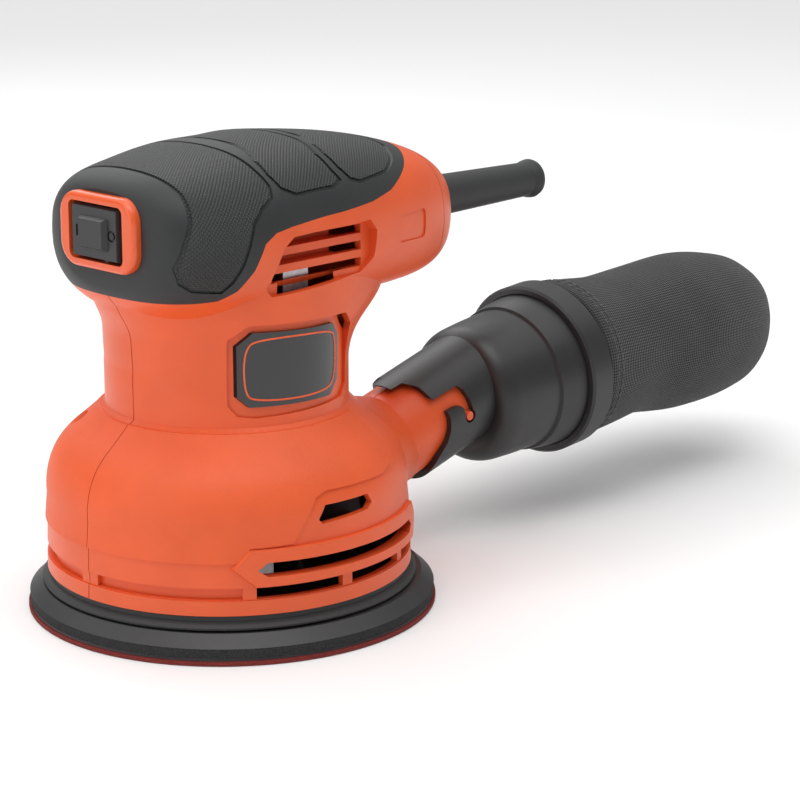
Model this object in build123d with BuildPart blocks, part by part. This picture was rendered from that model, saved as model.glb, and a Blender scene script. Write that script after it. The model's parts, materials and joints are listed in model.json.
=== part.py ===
from build123d import *
import os
from math import cos, sin, radians, pi

# Palm random-orbit sander, in millimetres. The origin is on the motor axis at the working
# face of the sanding disc. +X runs to the rear, where the strain relief and the dust bag
# are, -X to the switch, and +Z up. Left is the -Y side.

# ---- driving dimensions ------------------------------------------------------------
disc_radius = 62.5
orbit_offset = 1.0              # the pad runs 1 mm off the motor axis: a 2 mm orbit
bell_radius = 55.6
neck_radius = 36.8
shell_wall = 2.4
grip_skin = 1.6                 # rubber over the handle's shell
grip_wall = 3.6                 # rubber and shell together
groove_width = 1.1              # round the textured pads of the grip
groove_depth = 0.6
seam_gap = 0.3                  # shadow line between parts of the housing
run_fit = 0.05                  # radial clearance of shafts, pins and bearings
shell_least = 140000            # cubic millimetres that the whole shell has at least

skirt_bottom = 12.8
skirt_band_top = 17.2           # plain band below the row of slots
skirt_slot_top = 20.8
panel_ledge = 28.5              # foot of the textured panel on the bell
bell_crease = 36.0
bell_top = 62.4
neck_top = 112.0
handle_front = -46.0
handle_rear = 87.5
rear_cap_front = 68.0

disc_thickness = 1.15
hook_top = 2.0
foam_top = 4.9
platen_rim_top = 8.3
dust_hole_radius = 5.0
dust_hole_circle = 32.5
dust_hole_count = 8

shaft_radius = 4.0
fan_low, fan_high, fan_radius = 29.0, 41.0, 46.0
fan_blades = 14
plate_low, plate_high = 46.5, 49.5
stator_low, stator_high, stator_radius = 63.0, 90.0, 30.0
armature_radius = 16.0
winding_low, winding_high = 56.0, 95.0
commutator_low, commutator_high, commutator_radius = 97.0, 108.0, 11.0
lower_bearing_radius, lower_bearing_low, lower_bearing_high = 14.0, 46.5, 54.5
upper_bearing_radius, upper_bearing_low, upper_bearing_high = 11.0, 111.5, 118.5
pad_bearing_radius, pad_bearing_low, pad_bearing_high = 14.0, 14.5, 24.5

switch_z = 120.5
bezel_width, bezel_height, bezel_corner = 33.0, 22.0, 7.0
bezel_front = -49.0
window_width, window_height = 23.6, 16.8
rocker_pivot_x = -44.5

outlet_pitch = 16.0             # the bayonet sleeve climbs to the rear by this angle
outlet_x, outlet_z = 90.0, 42.8
sleeve_radius = 17.5
sleeve_bore = 15.6
spigot_radius = 15.3
spigot_bore = 13.2
funnel_pitch = 5.0
funnel_x, funnel_z = 127.3, 45.3
funnel_radius = 24.2
collar_radius = 26.6
bag_ring_radius = 29.4
bag_wall = 1.4
bag_start = 22.1                # behind the funnel's crease, along the funnel's axis

relief_z = 113.0
cord_radius = 3.6

screw_radius = 1.75
screw_head_radius = 3.3
screw_seat_y = 14.0
screw_tip_y = -11.0
screw_places = [(-31, 56), (31, 56), (-31, 99), (34, 100), (56, 104)]       # x, z

# x, underside, ridge and half width of the handle, from the nose to the tail
handle_stations = [
    (handle_front, 104.0, 132.5, 19.5),
    (-44.2, 100.5, 134.3, 25.0),
    (-40.0, 96.5, 136.6, 30.5),
    (-33.0, 93.0, 138.4, 34.2),
    (-22.0, 91.5, 140.2, 36.8),
    (-6.0, 91.0, 142.0, 38.0),
    (12.0, 91.0, 142.5, 37.8),
    (30.0, 91.0, 141.0, 36.2),
    (48.0, 91.0, 138.4, 32.6),
    (63.0, 91.5, 134.8, 28.0),
    (74.0, 93.5, 130.6, 22.5),
    (82.0, 98.0, 125.5, 15.5),
    (handle_rear, 105.0, 120.5, 8.5),
]
# z, and the neck's reach to the front and to the rear as it widens into the handle
flare_stations = [
    (76.0, neck_radius, neck_radius),
    (81.0, neck_radius, 38.4),
    (86.0, 37.0, 43.0),
    (90.5, 38.0, 50.0),
    (94.0, 40.0, 54.5),
    (98.0, 42.0, 56.0),
    (neck_top, 42.0, 54.0),
]
# x, centre height, half width and half height of the filled dust bag
bag_stations = [
    (164.0, 47.2, 27.0, 27.1),
    (184.0, 47.2, 26.6, 26.7),
    (200.0, 47.2, 26.9, 27.0),
    (218.0, 47.3, 26.8, 27.1),
    (233.0, 47.2, 25.8, 26.4),
    (246.0, 46.8, 22.8, 23.8),
    (254.5, 46.6, 17.6, 19.0),
    (259.0, 46.6, 11.6, 13.0),
    (261.5, 46.6, 5.6, 6.6),
]

left_side = Plane(origin=(0, 0, 0), x_dir=(1, 0, 0), z_dir=(0, -1, 0))      # sketch x, z
outlet_side = Plane(
    origin=(outlet_x, 0, outlet_z),
    x_dir=(cos(radians(outlet_pitch)), 0, sin(radians(outlet_pitch))),
    z_dir=(0, -1, 0),
)
outlet_end = Plane(origin=outlet_side.origin, x_dir=(0, 1, 0), z_dir=outlet_side.x_dir)
funnel_side = Plane(
    origin=(funnel_x, 0, funnel_z),
    x_dir=(cos(radians(funnel_pitch)), 0, sin(radians(funnel_pitch))),
    z_dir=(0, -1, 0),
)
funnel_end = Plane(origin=funnel_side.origin, x_dir=(0, 1, 0), z_dir=funnel_side.x_dir)
funnel_axis = Axis(funnel_side.origin, funnel_side.x_dir)
relief_axis = Axis((0, 0, relief_z), (1, 0, 0))

made = []


def keep(name, part, least=0.0):
    """Name a finished piece and note it for export. Stop if a cut has lost its solid."""
    if not part.solids() or max(solid.volume for solid in part.solids()) < least:
        raise ValueError(f"{name} has lost its solid")
    part.label = name
    made.append(part)


# ---- shared shapes -----------------------------------------------------------------
def super_ellipse(half_width, half_height, centre=0.0, power=2.5, count=20):
    """Points round an ellipse with fuller corners, for a closed spline."""
    points = []
    for step in range(count):
        angle = 2 * pi * (step + 0.5) / count
        across = half_width * abs(cos(angle)) ** (2 / power)
        up = half_height * abs(sin(angle)) ** (2 / power)
        points.append((across if cos(angle) > 0 else -across,
                       centre + (up if sin(angle) > 0 else -up)))
    return points


def ring(inner, outer, low, high, centre_x=0.0):
    """A flat-ended ring about a vertical axis."""
    with BuildPart() as body:
        with BuildSketch(Plane.XY.offset(low)):
            with Locations((centre_x, 0)):
                Circle(outer)
                if inner > 0:
                    Circle(inner, mode=Mode.SUBTRACT)
        extrude(amount=high - low)
    return body.part


def turned(points):
    """A closed outline of radius and height, turned about the motor axis."""
    with BuildPart() as body:
        with BuildSketch(Plane.XZ):
            with BuildLine():
                Polyline(*points, close=True)
            make_face()
        revolve(axis=Axis.Z)
    return body.part


def side_prism(points, near=-80.0, far=80.0):
    """An outline drawn from the side and run across the sander, near to far in Y."""
    with BuildPart() as body:
        with BuildSketch(left_side.offset(-far)):
            with BuildLine():
                Polyline(*points, close=True)
            make_face()
        extrude(amount=far - near)
    return body.part


def ring_sector(inner, outer, low, high, start, sweep):
    """Part of a ring: start and sweep in degrees, from +X towards +Y."""
    with BuildPart() as body:
        with BuildSketch(Plane.XZ.rotated((0, 0, start))):
            with Locations(((inner + outer) / 2, (low + high) / 2)):
                Rectangle(outer - inner, high - low)
        revolve(axis=Axis.Z, revolution_arc=sweep)
    return body.part


def handle_solid(inset):
    """The handle's outer form, or a smaller copy of it set in by a wall."""
    with BuildPart() as body:
        for x, low, high, half in handle_stations:
            if x == handle_front:
                x += inset
            if x == handle_rear:
                x -= inset
            rise = (high - low) / 2 - inset
            with BuildSketch(Plane.YZ.offset(x)):
                with BuildLine():
                    outline = super_ellipse(half - inset, rise, (high + low) / 2)
                    Spline(*outline, periodic=True)
                make_face()
        loft()
    return body.part


def flare_solid(inset):
    """The neck above the bell, widening front and back into the handle."""
    half = neck_radius - inset
    with BuildPart() as body:
        for z, front, rear in flare_stations:
            with BuildSketch(Plane.XY.offset(z)):
                with BuildLine():
                    EllipticalCenterArc((0, 0), front - inset, half, 90, arc_size=180)
                    EllipticalCenterArc((0, 0), rear - inset, half, 270, arc_size=180)
                make_face()
        loft()
    return body.part


def bell_solid(inset, bottom=skirt_bottom):
    """Bell and lower neck, turned about the motor axis."""
    top = flare_stations[0][0]
    shoulder = bell_top - inset
    with BuildPart() as body:
        with BuildSketch(Plane.XZ):
            with BuildLine():
                Polyline(
                    (0, top), (0, bottom), (bell_radius - inset, bottom),
                    (bell_radius - 0.4 - inset, panel_ledge),
                    (bell_radius - 1.1 - inset, bell_crease),
                )
                Spline(
                    (bell_radius - 1.1 - inset, bell_crease),
                    (53.8 - inset, 44.0), (50.6 - inset, 50.6 - inset * 0.5),
                    (44.8 - inset * 0.8, 56.2 - inset * 0.8), (38.4 - inset * 0.6, shoulder - 0.4),
                )
                Polyline(
                    (38.4 - inset * 0.6, shoulder - 0.4), (neck_radius - inset, shoulder + 0.9),
                    (neck_radius - inset, top), (0, top),
                )
            make_face()
        revolve(axis=Axis.Z)
    return body.part


def outlet_arm(inset):
    """The duct from the bell to the spigot that carries the dust sleeve."""
    with BuildPart() as body:
        with BuildSketch(Plane.YZ.offset(30)):
            with BuildLine():
                Spline(*super_ellipse(34 - inset, 14.5 - inset, 43.5, 4.0), periodic=True)
            make_face()
        with BuildSketch(outlet_end.offset(-24)):
            with BuildLine():
                Spline(*super_ellipse(spigot_radius + 0.4 - inset, spigot_radius + 0.4 - inset, 0, 2.0),
                       periodic=True)
            make_face()
        loft(ruled=True)
        with BuildSketch(outlet_end.offset(-24.5)):
            Circle(spigot_radius - inset)
        extrude(amount=38.5 + inset)
    return body.part


def both_sides(points, inner, outer):
    """The same outline cut or raised on the left and on the right, inner to outer in Y."""
    left = side_prism(points, -outer, -inner)
    return left + mirror(left, Plane.XZ)


def across(x, z, radius, near, far):
    """A round bar along Y."""
    with BuildPart() as body:
        with BuildSketch(left_side.offset(-far)):
            with Locations((x, z)):
                Circle(radius)
        extrude(amount=far - near)
    return body.part


def along(x_low, x_high, y_half, z_low, z_high):
    """A block centred on the sander's middle plane."""
    with BuildPart() as body:
        with BuildSketch(Plane.XY.offset(z_low)):
            with Locations(((x_low + x_high) / 2, 0)):
                Rectangle(x_high - x_low, 2 * y_half)
        extrude(amount=z_high - z_low)
    return body.part


# ---- housing -----------------------------------------------------------------------
grip_outline = [
    (-60, 101.5), (-47, 101.5), (-31, 102.6), (-26, 105.0), (-21.5, 110.6), (-18, 118.0),
    (-14, 120.6), (-8, 121.6), (27, 124.2), (37, 126.0), (49, 130.5), (63, 136.5), (63, 160),
    (-60, 160),
]
smooth_outline = [
    (-70, 5), (-70, panel_ledge), (-35.5, panel_ledge), (-32.6, 32.6), (-21.3, 33.2),
    (-13.6, 45.4), (-9.6, 46.9), (14.0, 46.6), (20.5, 48.2), (22.6, 51.8), (22.0, 55.5),
    (16.8, 64.0), (80, 64.0), (80, 5),
]
neck_field = [(-24.6, 70.0), (-22.4, 66.8), (-18.0, 66.0), (15.0, 66.8), (18.6, 70.0),
              (19.4, 88.5), (16.0, 92.4), (-20.0, 93.6), (-24.6, 89.5)]
badge_outline = [(-22.6, 72.6), (-19.6, 69.4), (8.0, 69.0), (12.0, 73.0), (12.6, 86.6),
                 (9.8, 90.4), (-18.6, 91.4), (-22.6, 87.6)]
side_vent = [(-16.0, 104.5), (-13.5, 101.5), (23.0, 103.2), (27.5, 107.5), (27.6, 115.5),
             (24.6, 119.2), (-7.5, 118.6), (-11.5, 115.8)]
vent_floor_y = 33.3
exhaust_slot = [(-31.5, 26.4), (-29.0, 28.6), (28.6, 28.6), (31.0, 26.4), (29.0, 24.3),
                (-29.0, 24.3)]
exhaust_lip = [(-37.0, 27.0), (-32.6, 32.4), (34.0, 32.4), (38.0, 27.0), (34.0, 21.6),
               (-32.0, 21.6)]
bell_window = [(-13.2, 38.9), (-10.6, 42.8), (5.8, 42.8), (7.4, 40.0), (5.4, 38.2),
               (-11.8, 37.4)]
flank_plate = [(40.5, 109.6), (53.5, 109.0), (54.5, 110.0), (54.5, 117.0), (53.5, 118.0),
               (40.5, 118.0), (39.5, 117.0), (39.5, 110.6)]

front_pad = [(-37.6, 150), (-37.2, 133), (-38.9, 126), (-41.0, 120), (-42.8, 113),
             (-41.4, 108.6), (-38.6, 106.4), (-31.0, 105.4), (-28.2, 108), (-25.5, 112.5),
             (-23.0, 118.8), (-21.0, 123.8), (-17.5, 127.3), (-12.8, 130), (-11.4, 133),
             (-11.8, 137), (-10.6, 150)]
middle_pad = [(-3.5, 150), (-4.0, 142), (-8.2, 139), (-9.2, 135.6), (-7.8, 132), (-3.0, 129.8),
              (12.0, 130.3), (15.4, 131.8), (14.2, 134.6), (14.0, 138.5), (16.5, 141.4),
              (17.0, 150)]
rear_pad = [(22.0, 150), (21.4, 141.7), (18.8, 140.6), (17.4, 138.2), (17.7, 134.8),
            (20.0, 131.4), (24.0, 130.2), (38.0, 131.0), (46.0, 133.4), (51.0, 136.0),
            (52.0, 150)]

handle_outer = handle_solid(0)
handle_skin = handle_solid(grip_skin)
grip_zone = side_prism(grip_outline)

with BuildPart() as cavity:
    add(handle_solid(grip_wall))
    add(flare_solid(shell_wall))
    add(bell_solid(shell_wall, bottom=skirt_bottom - 5))
    add(outlet_arm(spigot_radius - spigot_bore))

with BuildPart() as bezel_block:
    with BuildSketch(Plane.YZ.offset(bezel_front)):
        with Locations((0, switch_z)):
            RectangleRounded(bezel_width, bezel_height, bezel_corner)
    extrude(amount=9)

with BuildPart() as grip_layer:
    add(handle_outer)
    add(handle_skin, mode=Mode.SUBTRACT)
    add(grip_zone, mode=Mode.INTERSECT)
    add(bezel_block.part, mode=Mode.SUBTRACT)

# The grip's rubber, with a groove round each of its three textured pads.
with BuildPart() as groove_bands:
    for outline in (front_pad, middle_pad, rear_pad):
        with BuildSketch(left_side.offset(-60)):
            with BuildLine():
                Polyline(*outline)
            trace(line_width=groove_width)
        extrude(amount=120)

with BuildPart() as grip_cover:
    add(handle_outer)
    add(handle_solid(groove_depth), mode=Mode.SUBTRACT)
    add(groove_bands.part, mode=Mode.SUBTRACT)
    add(handle_solid(groove_depth))
    add(handle_skin, mode=Mode.SUBTRACT)
    add(grip_zone, mode=Mode.INTERSECT)
    add(bezel_block.part, mode=Mode.SUBTRACT)

# The textured panel stands 0.6 mm proud of the bell, and the exhaust lip 1.3 mm.
with BuildPart() as panel_layer:
    add(bell_solid(-0.6))
    add(bell_solid(0.1, bottom=skirt_bottom - 1), mode=Mode.SUBTRACT)
    add(side_prism(smooth_outline), mode=Mode.SUBTRACT)
    add(ring(0, bell_radius, bell_top - 0.2, bell_top + 30), mode=Mode.SUBTRACT)

with BuildPart() as exhaust_frames:
    add(bell_solid(-1.3))
    add(bell_solid(0.1, bottom=skirt_bottom - 1), mode=Mode.SUBTRACT)
    add(side_prism(exhaust_lip, -70, -35), mode=Mode.INTERSECT)
    mirror(about=Plane.XZ)

with BuildPart() as neck_recess:
    add(ring(neck_radius - 0.9, neck_radius + 4, 60, 100))
    add(side_prism(neck_field, -60, -20), mode=Mode.INTERSECT)
    mirror(about=Plane.XZ)

with BuildPart() as flank_recess:
    add(handle_outer)
    add(handle_solid(0.5), mode=Mode.SUBTRACT)
    add(side_prism(flank_plate, -50, -20), mode=Mode.INTERSECT)
    mirror(about=Plane.XZ)

# What stands inside the shell: screw bosses, bearing ribs, plate ledge, motor ribs, seats.
with BuildPart() as inner_work:
    for x, z in screw_places:
        add(across(x, z, screw_head_radius + 2, 0, 60))
        add(across(x, z, screw_radius + 2.4, -60, 0))
    add(ring(fan_radius + 0.6, bell_radius, plate_low - 3, plate_low))
    with BuildSketch(Plane.XY.offset(stator_low + 1)):
        with PolarLocations((stator_radius + neck_radius) / 2, 4, 45):
            Rectangle(neck_radius - stator_radius + 1, 3)
        Circle(stator_radius, mode=Mode.SUBTRACT)
    extrude(amount=stator_high - stator_low - 2)
    add(along(61.5, 66.5, 30, 88, 108.5))
    add(cavity.part, mode=Mode.INTERSECT)

# The ribs of the upper bearing and the floor behind each side vent run into the wall.
handle_room = handle_solid(grip_wall - 0.6)
vent_floor = side_prism(side_vent, -vent_floor_y - 2, 2.4 - vent_floor_y) & handle_room
handle_work = [vent_floor, mirror(vent_floor, Plane.XZ)]
for low, high, bore in ((109.0, 111.5, 6.5), (113.5, 116.5, 13.0)):
    handle_work.append((along(-16, 16, 45, low, high) - ring(0, bore, low - 1, high + 1)) & handle_room)

# Everything that is open, let in or drilled.
with BuildPart() as openings:
    for start, sweep, depth in ((183.6, 48.0, 1.6), (235.8, 28.6, 6), (268.2, 25.0, 6),
                                (297.0, 25.0, 6), (326.0, 22.0, 1.6)):
        for first in (start, 360 - start - sweep):
            add(ring_sector(bell_radius - 0.5 - depth, bell_radius + 3, skirt_band_top + 0.3,
                            skirt_slot_top, first, sweep))
    add(both_sides(exhaust_slot, 38, 70))
    add(both_sides(bell_window, 40, 70))
    add(both_sides(side_vent, vent_floor_y, 60))
    for row in range(3):
        level = 104.9 + 5.0 * row
        lead = -12.4 + 1.6 * row
        slot = [(lead, level), (lead + 1.0, level + 2.7), (24.0, level + 2.7), (24.0, level)]
        add(both_sides(slot, 28, 60))
    for x, z in screw_places:
        add(across(x, z, screw_head_radius, screw_seat_y, 60))
        add(across(x, z, screw_radius, screw_tip_y, screw_seat_y))
    add(bezel_block.part)
    add(neck_recess.part)
    add(flank_recess.part)
    with BuildSketch(Plane.YZ.offset(handle_rear + 2)):
        with Locations((0, relief_z)):
            Circle(6.8)
    extrude(amount=-8)

with BuildPart() as lugs:
    with BuildSketch(outlet_side.offset(spigot_bore + 1)):
        with Locations((0.2, 0)):
            Circle(1.5)
    extrude(amount=sleeve_radius - spigot_bore - 1.2)
    mirror(about=Plane.XZ)

with BuildPart() as seal_groove:
    with BuildSketch(outlet_end.offset(8)):
        Circle(spigot_radius + 2)
        Circle(spigot_radius - 0.9, mode=Mode.SUBTRACT)
    extrude(amount=2)


def whole_shell():
    """Both halves in one piece, with what stands inside and everything that is open."""
    with BuildPart() as shell:
        add(handle_outer)
        add(flare_solid(0))
        add(bell_solid(0))
        add(outlet_arm(0))
        add(panel_layer.part)
        add(exhaust_frames.part)
        add(ring(bell_radius - 0.6, bell_radius + 3, skirt_band_top, skirt_slot_top + 0.3),
            mode=Mode.SUBTRACT)
        add(grip_layer.part, mode=Mode.SUBTRACT)
        add(cavity.part, mode=Mode.SUBTRACT)
        add(inner_work.part)
        for piece in handle_work:
            add(piece)
        add(openings.part, mode=Mode.SUBTRACT)
        add(lugs.part)
        add(seal_groove.part, mode=Mode.SUBTRACT)
    return shell.part


# A cut now and then comes back without its solid, and is right when it is made again.
for attempt in range(4):
    shell = whole_shell()
    if shell.volume > shell_least:
        break

half_gap = seam_gap / 2
left_space = side_prism([(-200, -50), (400, -50), (400, 250), (-200, 250)], -200, half_gap)
right_space = side_prism([(-200, -50), (400, -50), (400, 250), (-200, 250)], -half_gap, 200)
cap_space = along(rear_cap_front - half_gap, 150, 60, 87, 160)

# The halves are cut from one solid, each by the space of the other.
one_piece = shell - cap_space
for name, other_side in (("left_housing", right_space), ("right_housing", left_space)):
    keep(name, one_piece - other_side, 50000)

with BuildPart() as rear_cap:
    add(handle_solid(0))
    add(handle_solid(grip_wall), mode=Mode.SUBTRACT)
    add(along(-90, rear_cap_front + half_gap, 90, 0, 160), mode=Mode.SUBTRACT)
    with BuildSketch(Plane.YZ.offset(handle_rear + 2)):
        with Locations((0, relief_z)):
            Circle(6.8)
    extrude(amount=-8, mode=Mode.SUBTRACT)
keep("rear_cap", rear_cap.part)
keep("grip_cover", grip_cover.part)


# ---- housing trim ------------------------------------------------------------------
with BuildPart() as switch_bezel:
    with BuildSketch(Plane.YZ.offset(bezel_front)):
        with Locations((0, switch_z)):
            RectangleRounded(bezel_width - 0.1, bezel_height - 0.1, bezel_corner)
            RectangleRounded(window_width, window_height, 2.0, mode=Mode.SUBTRACT)
    extrude(amount=8.9)
    rim = switch_bezel.faces().sort_by(Axis.X)[0].outer_wire().edges()
    fillet(rim, radius=1.6)
    with BuildSketch(Plane.XY.offset(switch_z - bezel_height / 2 + 0.6)):
        with Locations((rocker_pivot_x, 0)):
            Circle(1.2)
    extrude(amount=bezel_height - 1.2, mode=Mode.SUBTRACT)
keep("switch_bezel", switch_bezel.part)

with BuildPart() as rocker_pin:
    with BuildSketch(Plane.XY.offset(switch_z - bezel_height / 2 + 0.6)):
        with Locations((rocker_pivot_x, 0)):
            Circle(1.2)
    extrude(amount=bezel_height - 1.2)
keep("rocker_pin", rocker_pin.part)

# A rocker with a stepped, tapering face and its two marks let in.
with BuildPart() as rocker_button:
    with BuildSketch(Plane.YZ.offset(-42.6)):
        with Locations((0, switch_z)):
            Rectangle(20.4, 15.6)
    extrude(amount=-5.0)
    with BuildSketch(Plane.YZ.offset(-47.6)):
        with Locations((0, switch_z)):
            Rectangle(20.4, 15.6)
    extrude(amount=-1.8, taper=18)
    with BuildSketch(Plane.YZ.offset(-49.4)):
        with Locations((0, switch_z)):
            Rectangle(11.6, 9.6)
    extrude(amount=-1.5, taper=30)
    with BuildSketch(Plane.YZ.offset(-49.4)):
        with Locations((7.6, switch_z)):
            Rectangle(0.8, 3.4)
        with Locations((-7.6, switch_z)):
            Circle(1.7)
            Circle(1.0, mode=Mode.SUBTRACT)
    extrude(amount=0.5, mode=Mode.SUBTRACT)
    with BuildSketch(Plane.XY.offset(switch_z - 9)):
        with Locations((rocker_pivot_x, 0)):
            Circle(1.2 + run_fit)
    extrude(amount=18, mode=Mode.SUBTRACT)
keep("rocker_button", rocker_button.part)

with BuildPart() as switch_body:
    add(along(-39.9, -22, 11, switch_z - 7.8, switch_z + 7.8))
    with Locations(*[(-22, y, switch_z) for y in (-6.5, 0, 6.5)]):
        Box(7, 0.9, 5, align=(Align.MIN, Align.CENTER, Align.CENTER))
keep("switch_body", switch_body.part)

for name, inner, outer in (("left_badge", -60, -20), ("right_badge", 20, 60)):
    with BuildPart() as badge:
        add(ring(neck_radius - 0.9, neck_radius + 0.3, 60, 100))
        add(side_prism(badge_outline, inner, outer), mode=Mode.INTERSECT)
    keep(name, badge.part)

with BuildPart() as housing_screws:
    for x, z in screw_places:
        add(across(x, z, screw_radius, screw_tip_y, screw_seat_y))
        add(across(x, z, screw_head_radius - 0.2, screw_seat_y, screw_seat_y + 2.2))
        with BuildSketch(left_side.offset(-screw_seat_y - 2.2)):
            with Locations((x, z)):
                Rectangle(0.8, 3.6)
                Rectangle(3.6, 0.8)
        extrude(amount=1.2, mode=Mode.SUBTRACT)
keep("housing_screws", housing_screws.part)

# ---- cord entry --------------------------------------------------------------------
relief_outline = [
    (79.2, cord_radius), (79.2, 7.9), (82.6, 7.9), (82.6, 6.75), (88.5, 6.75), (134.5, 5.7),
    (136.0, 6.3), (137.6, 6.5), (138.8, 6.1), (139.2, 5.2), (139.2, cord_radius),
]
with BuildPart() as strain_relief:
    with BuildSketch(Plane.XZ):
        with BuildLine():
            Polyline(*[(x, relief_z + r) for x, r in relief_outline], close=True)
        make_face()
    revolve(axis=relief_axis)
keep("strain_relief", strain_relief.part)

clamp_x = 64.0
with BuildPart() as cord_clamp:
    add(along(clamp_x - 3, clamp_x + 3, 12, 116.8, 119.6))
    with BuildSketch(Plane.XY.offset(116)):
        with Locations((clamp_x, -8.5), (clamp_x, 8.5)):
            Circle(1.4)
    extrude(amount=4, mode=Mode.SUBTRACT)
keep("cord_clamp", cord_clamp.part)

with BuildPart() as clamp_screws:
    for y in (-8.5, 8.5):
        with BuildSketch(Plane.XY.offset(108.5)):
            with Locations((clamp_x, y)):
                Circle(1.4)
        extrude(amount=11.1)
        with BuildSketch(Plane.XY.offset(119.6)):
            with Locations((clamp_x, y)):
                Circle(2.5)
        extrude(amount=1.8)
keep("clamp_screws", clamp_screws.part)

with BuildPart() as terminal_block:
    add(along(20, 31, 10, 120, 129))
    with BuildSketch(Plane.XY.offset(126)):
        with Locations(*[(25.5, y) for y in (-6, 0, 6)]):
            Circle(1.8)
    extrude(amount=3, mode=Mode.SUBTRACT)
keep("terminal_block", terminal_block.part)

with BuildPart() as capacitor:
    add(along(36, 58, 7.5, 118, 130))
    fillet(capacitor.edges().filter_by(Axis.X), radius=2)
keep("capacitor", capacitor.part)

# ---- motor -------------------------------------------------------------------------
with BuildPart() as stator_core:
    add(ring(21, stator_radius, stator_low, stator_high))
    for start in (60, 240):
        add(ring_sector(armature_radius + 0.6, 21.2, stator_low, stator_high, start, 60))
keep("stator_core", stator_core.part)

with BuildPart() as stator_coils:
    for start in (-50, 130):
        add(ring_sector(17.0, 20.8, winding_low + 1, stator_high + 5, start, 100))
        add(ring_sector(20.8, 24.4, winding_low + 1, stator_low - 0.3, start, 100))
        add(ring_sector(20.8, 24.4, stator_high + 0.3, stator_high + 5, start, 100))
keep("stator_coils", stator_coils.part)

with BuildPart() as armature_core:
    add(ring(shaft_radius, armature_radius, stator_low, stator_high))
    with BuildSketch(Plane.XY.offset(stator_low)):
        with PolarLocations(12.2, 12):
            Rectangle(5.0, 2.0)
        with PolarLocations(15.5, 12):
            Rectangle(1.6, 0.9)
    extrude(amount=stator_high - stator_low, mode=Mode.SUBTRACT)
keep("armature_core", armature_core.part)

with BuildPart() as armature_windings:
    add(ring(8, 14.4, winding_low, stator_low))
    add(ring(8, 14.4, stator_high, winding_high))
    with BuildSketch(Plane.XY.offset(stator_low)):
        with PolarLocations(12.2, 12):
            Rectangle(5.0, 2.0)
    extrude(amount=stator_high - stator_low)
keep("armature_windings", armature_windings.part)

with BuildPart() as commutator:
    add(ring(shaft_radius, commutator_radius, commutator_low, commutator_high))
    with BuildSketch(Plane.XY.offset(commutator_low + 1)):
        with PolarLocations(commutator_radius, 24):
            Rectangle(1.6, 0.4)
    extrude(amount=commutator_high - commutator_low - 1, mode=Mode.SUBTRACT)
keep("commutator", commutator.part)

with BuildPart() as motor_shaft:
    add(ring(0, shaft_radius, 26, upper_bearing_high + 1))
keep("motor_shaft", motor_shaft.part)


def ball_bearing(bore, radius, low, high, centre_x=0.0):
    """A sealed bearing: a ring with a shallow shield groove in each face."""
    body = ring(bore, radius, low, high, centre_x)
    for face_low in (low, high - 0.5):
        body -= ring(bore + 1.6, radius - 1.6, face_low, face_low + 0.5, centre_x)
    return body


keep("upper_bearing", ball_bearing(shaft_radius + run_fit, upper_bearing_radius,
                                   upper_bearing_low, upper_bearing_high))
keep("lower_bearing", ball_bearing(shaft_radius + run_fit, lower_bearing_radius,
                                   lower_bearing_low, lower_bearing_high))
keep("bearing_boot", ring(upper_bearing_radius, 13.0, upper_bearing_low, upper_bearing_high))

with BuildPart() as motor_plate:
    add(ring(lower_bearing_radius, 17.0, plate_low, lower_bearing_high))
    add(ring(17.0, 47.8, plate_low, plate_high))
    with BuildSketch(Plane.XY.offset(plate_low)):
        with PolarLocations(33, 8, 22.5):
            Circle(4.5)
    extrude(amount=plate_high - plate_low, mode=Mode.SUBTRACT)
keep("motor_plate", motor_plate.part)

brush_z = 102.5
with BuildPart() as brush_holders:
    for side in (-1, 1):
        with BuildSketch(Plane.XZ.offset(-side * 13)):
            with Locations((0, brush_z)):
                Rectangle(10, 12)
                Rectangle(6, 8, mode=Mode.SUBTRACT)
        extrude(amount=-side * 16)
        with BuildSketch(Plane.XZ.offset(-side * 29)):
            with Locations((0, brush_z)):
                Rectangle(10, 12)
        extrude(amount=-side * 1.5)
keep("brush_holders", brush_holders.part)

with BuildPart() as carbon_brushes:
    for side in (-1, 1):
        with BuildSketch(Plane.XZ.offset(-side * (commutator_radius - 1))):
            with Locations((0, brush_z)):
                Rectangle(6, 8)
        extrude(amount=-side * 11)
    add(ring(0, commutator_radius + 0.3, 90, 115), mode=Mode.SUBTRACT)
keep("carbon_brushes", carbon_brushes.part)

with BuildPart() as brush_springs:
    for side in (-1, 1):
        for turn in range(4):
            with BuildSketch(Plane.XZ.offset(-side * (21 + 2 * turn))):
                with Locations((0, brush_z)):
                    Circle(2.6 - 0.2 * (turn % 2))
                    Circle(1.8, mode=Mode.SUBTRACT)
            extrude(amount=-side * 2)
keep("brush_springs", brush_springs.part)

# ---- fan and orbit drive -----------------------------------------------------------
with BuildPart() as cooling_fan:
    add(ring(shaft_radius, 9.0, fan_low, fan_high))
    add(ring(8.9, fan_radius, fan_low, fan_low + 1.6))
    with BuildSketch(Plane.XY.offset(fan_low + 1.6)):
        with PolarLocations((fan_radius + 18) / 2, fan_blades):
            Rectangle(fan_radius - 20, 1.6, rotation=24)
    extrude(amount=fan_high - fan_low - 1.6)
keep("cooling_fan", cooling_fan.part)

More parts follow.
